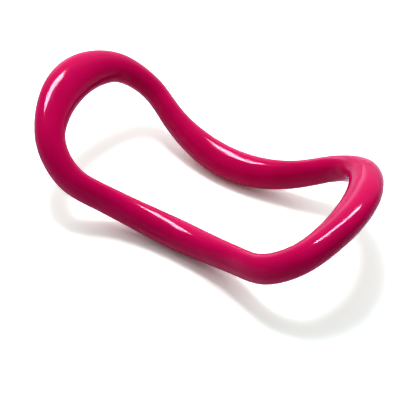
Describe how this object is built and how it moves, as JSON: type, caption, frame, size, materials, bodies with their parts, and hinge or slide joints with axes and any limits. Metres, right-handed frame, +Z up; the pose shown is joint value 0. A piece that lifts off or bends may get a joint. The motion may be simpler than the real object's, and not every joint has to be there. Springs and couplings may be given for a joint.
{
  "type": "pilates stretch ring",
  "caption": "Hollow waisted loop of oval plastic tube, bent like a saddle so that both end grips rise, for stretching and resistance exercises in the hands, at the calves or under the back.",
  "frame": {"origin": "on the floor under the middle of the loop, at the level of the lowest points of the two side bars", "axes": "+X along the loop towards one end grip, +Y across it towards one side bar, +Z up"},
  "size_m": [0.2352, 0.118, 0.0745],
  "materials": {
    "shell_plastic": "polished, coloured through",
    "weld_plastic": "melted and set, same plastic as the shells"
  },
  "bodies": {
    "root": {"upper_shell": "shell_plastic", "lower_shell": "shell_plastic", "outer_weld_bead": "weld_plastic", "inner_weld_bead": "weld_plastic"}
  },
  "joints": []
}
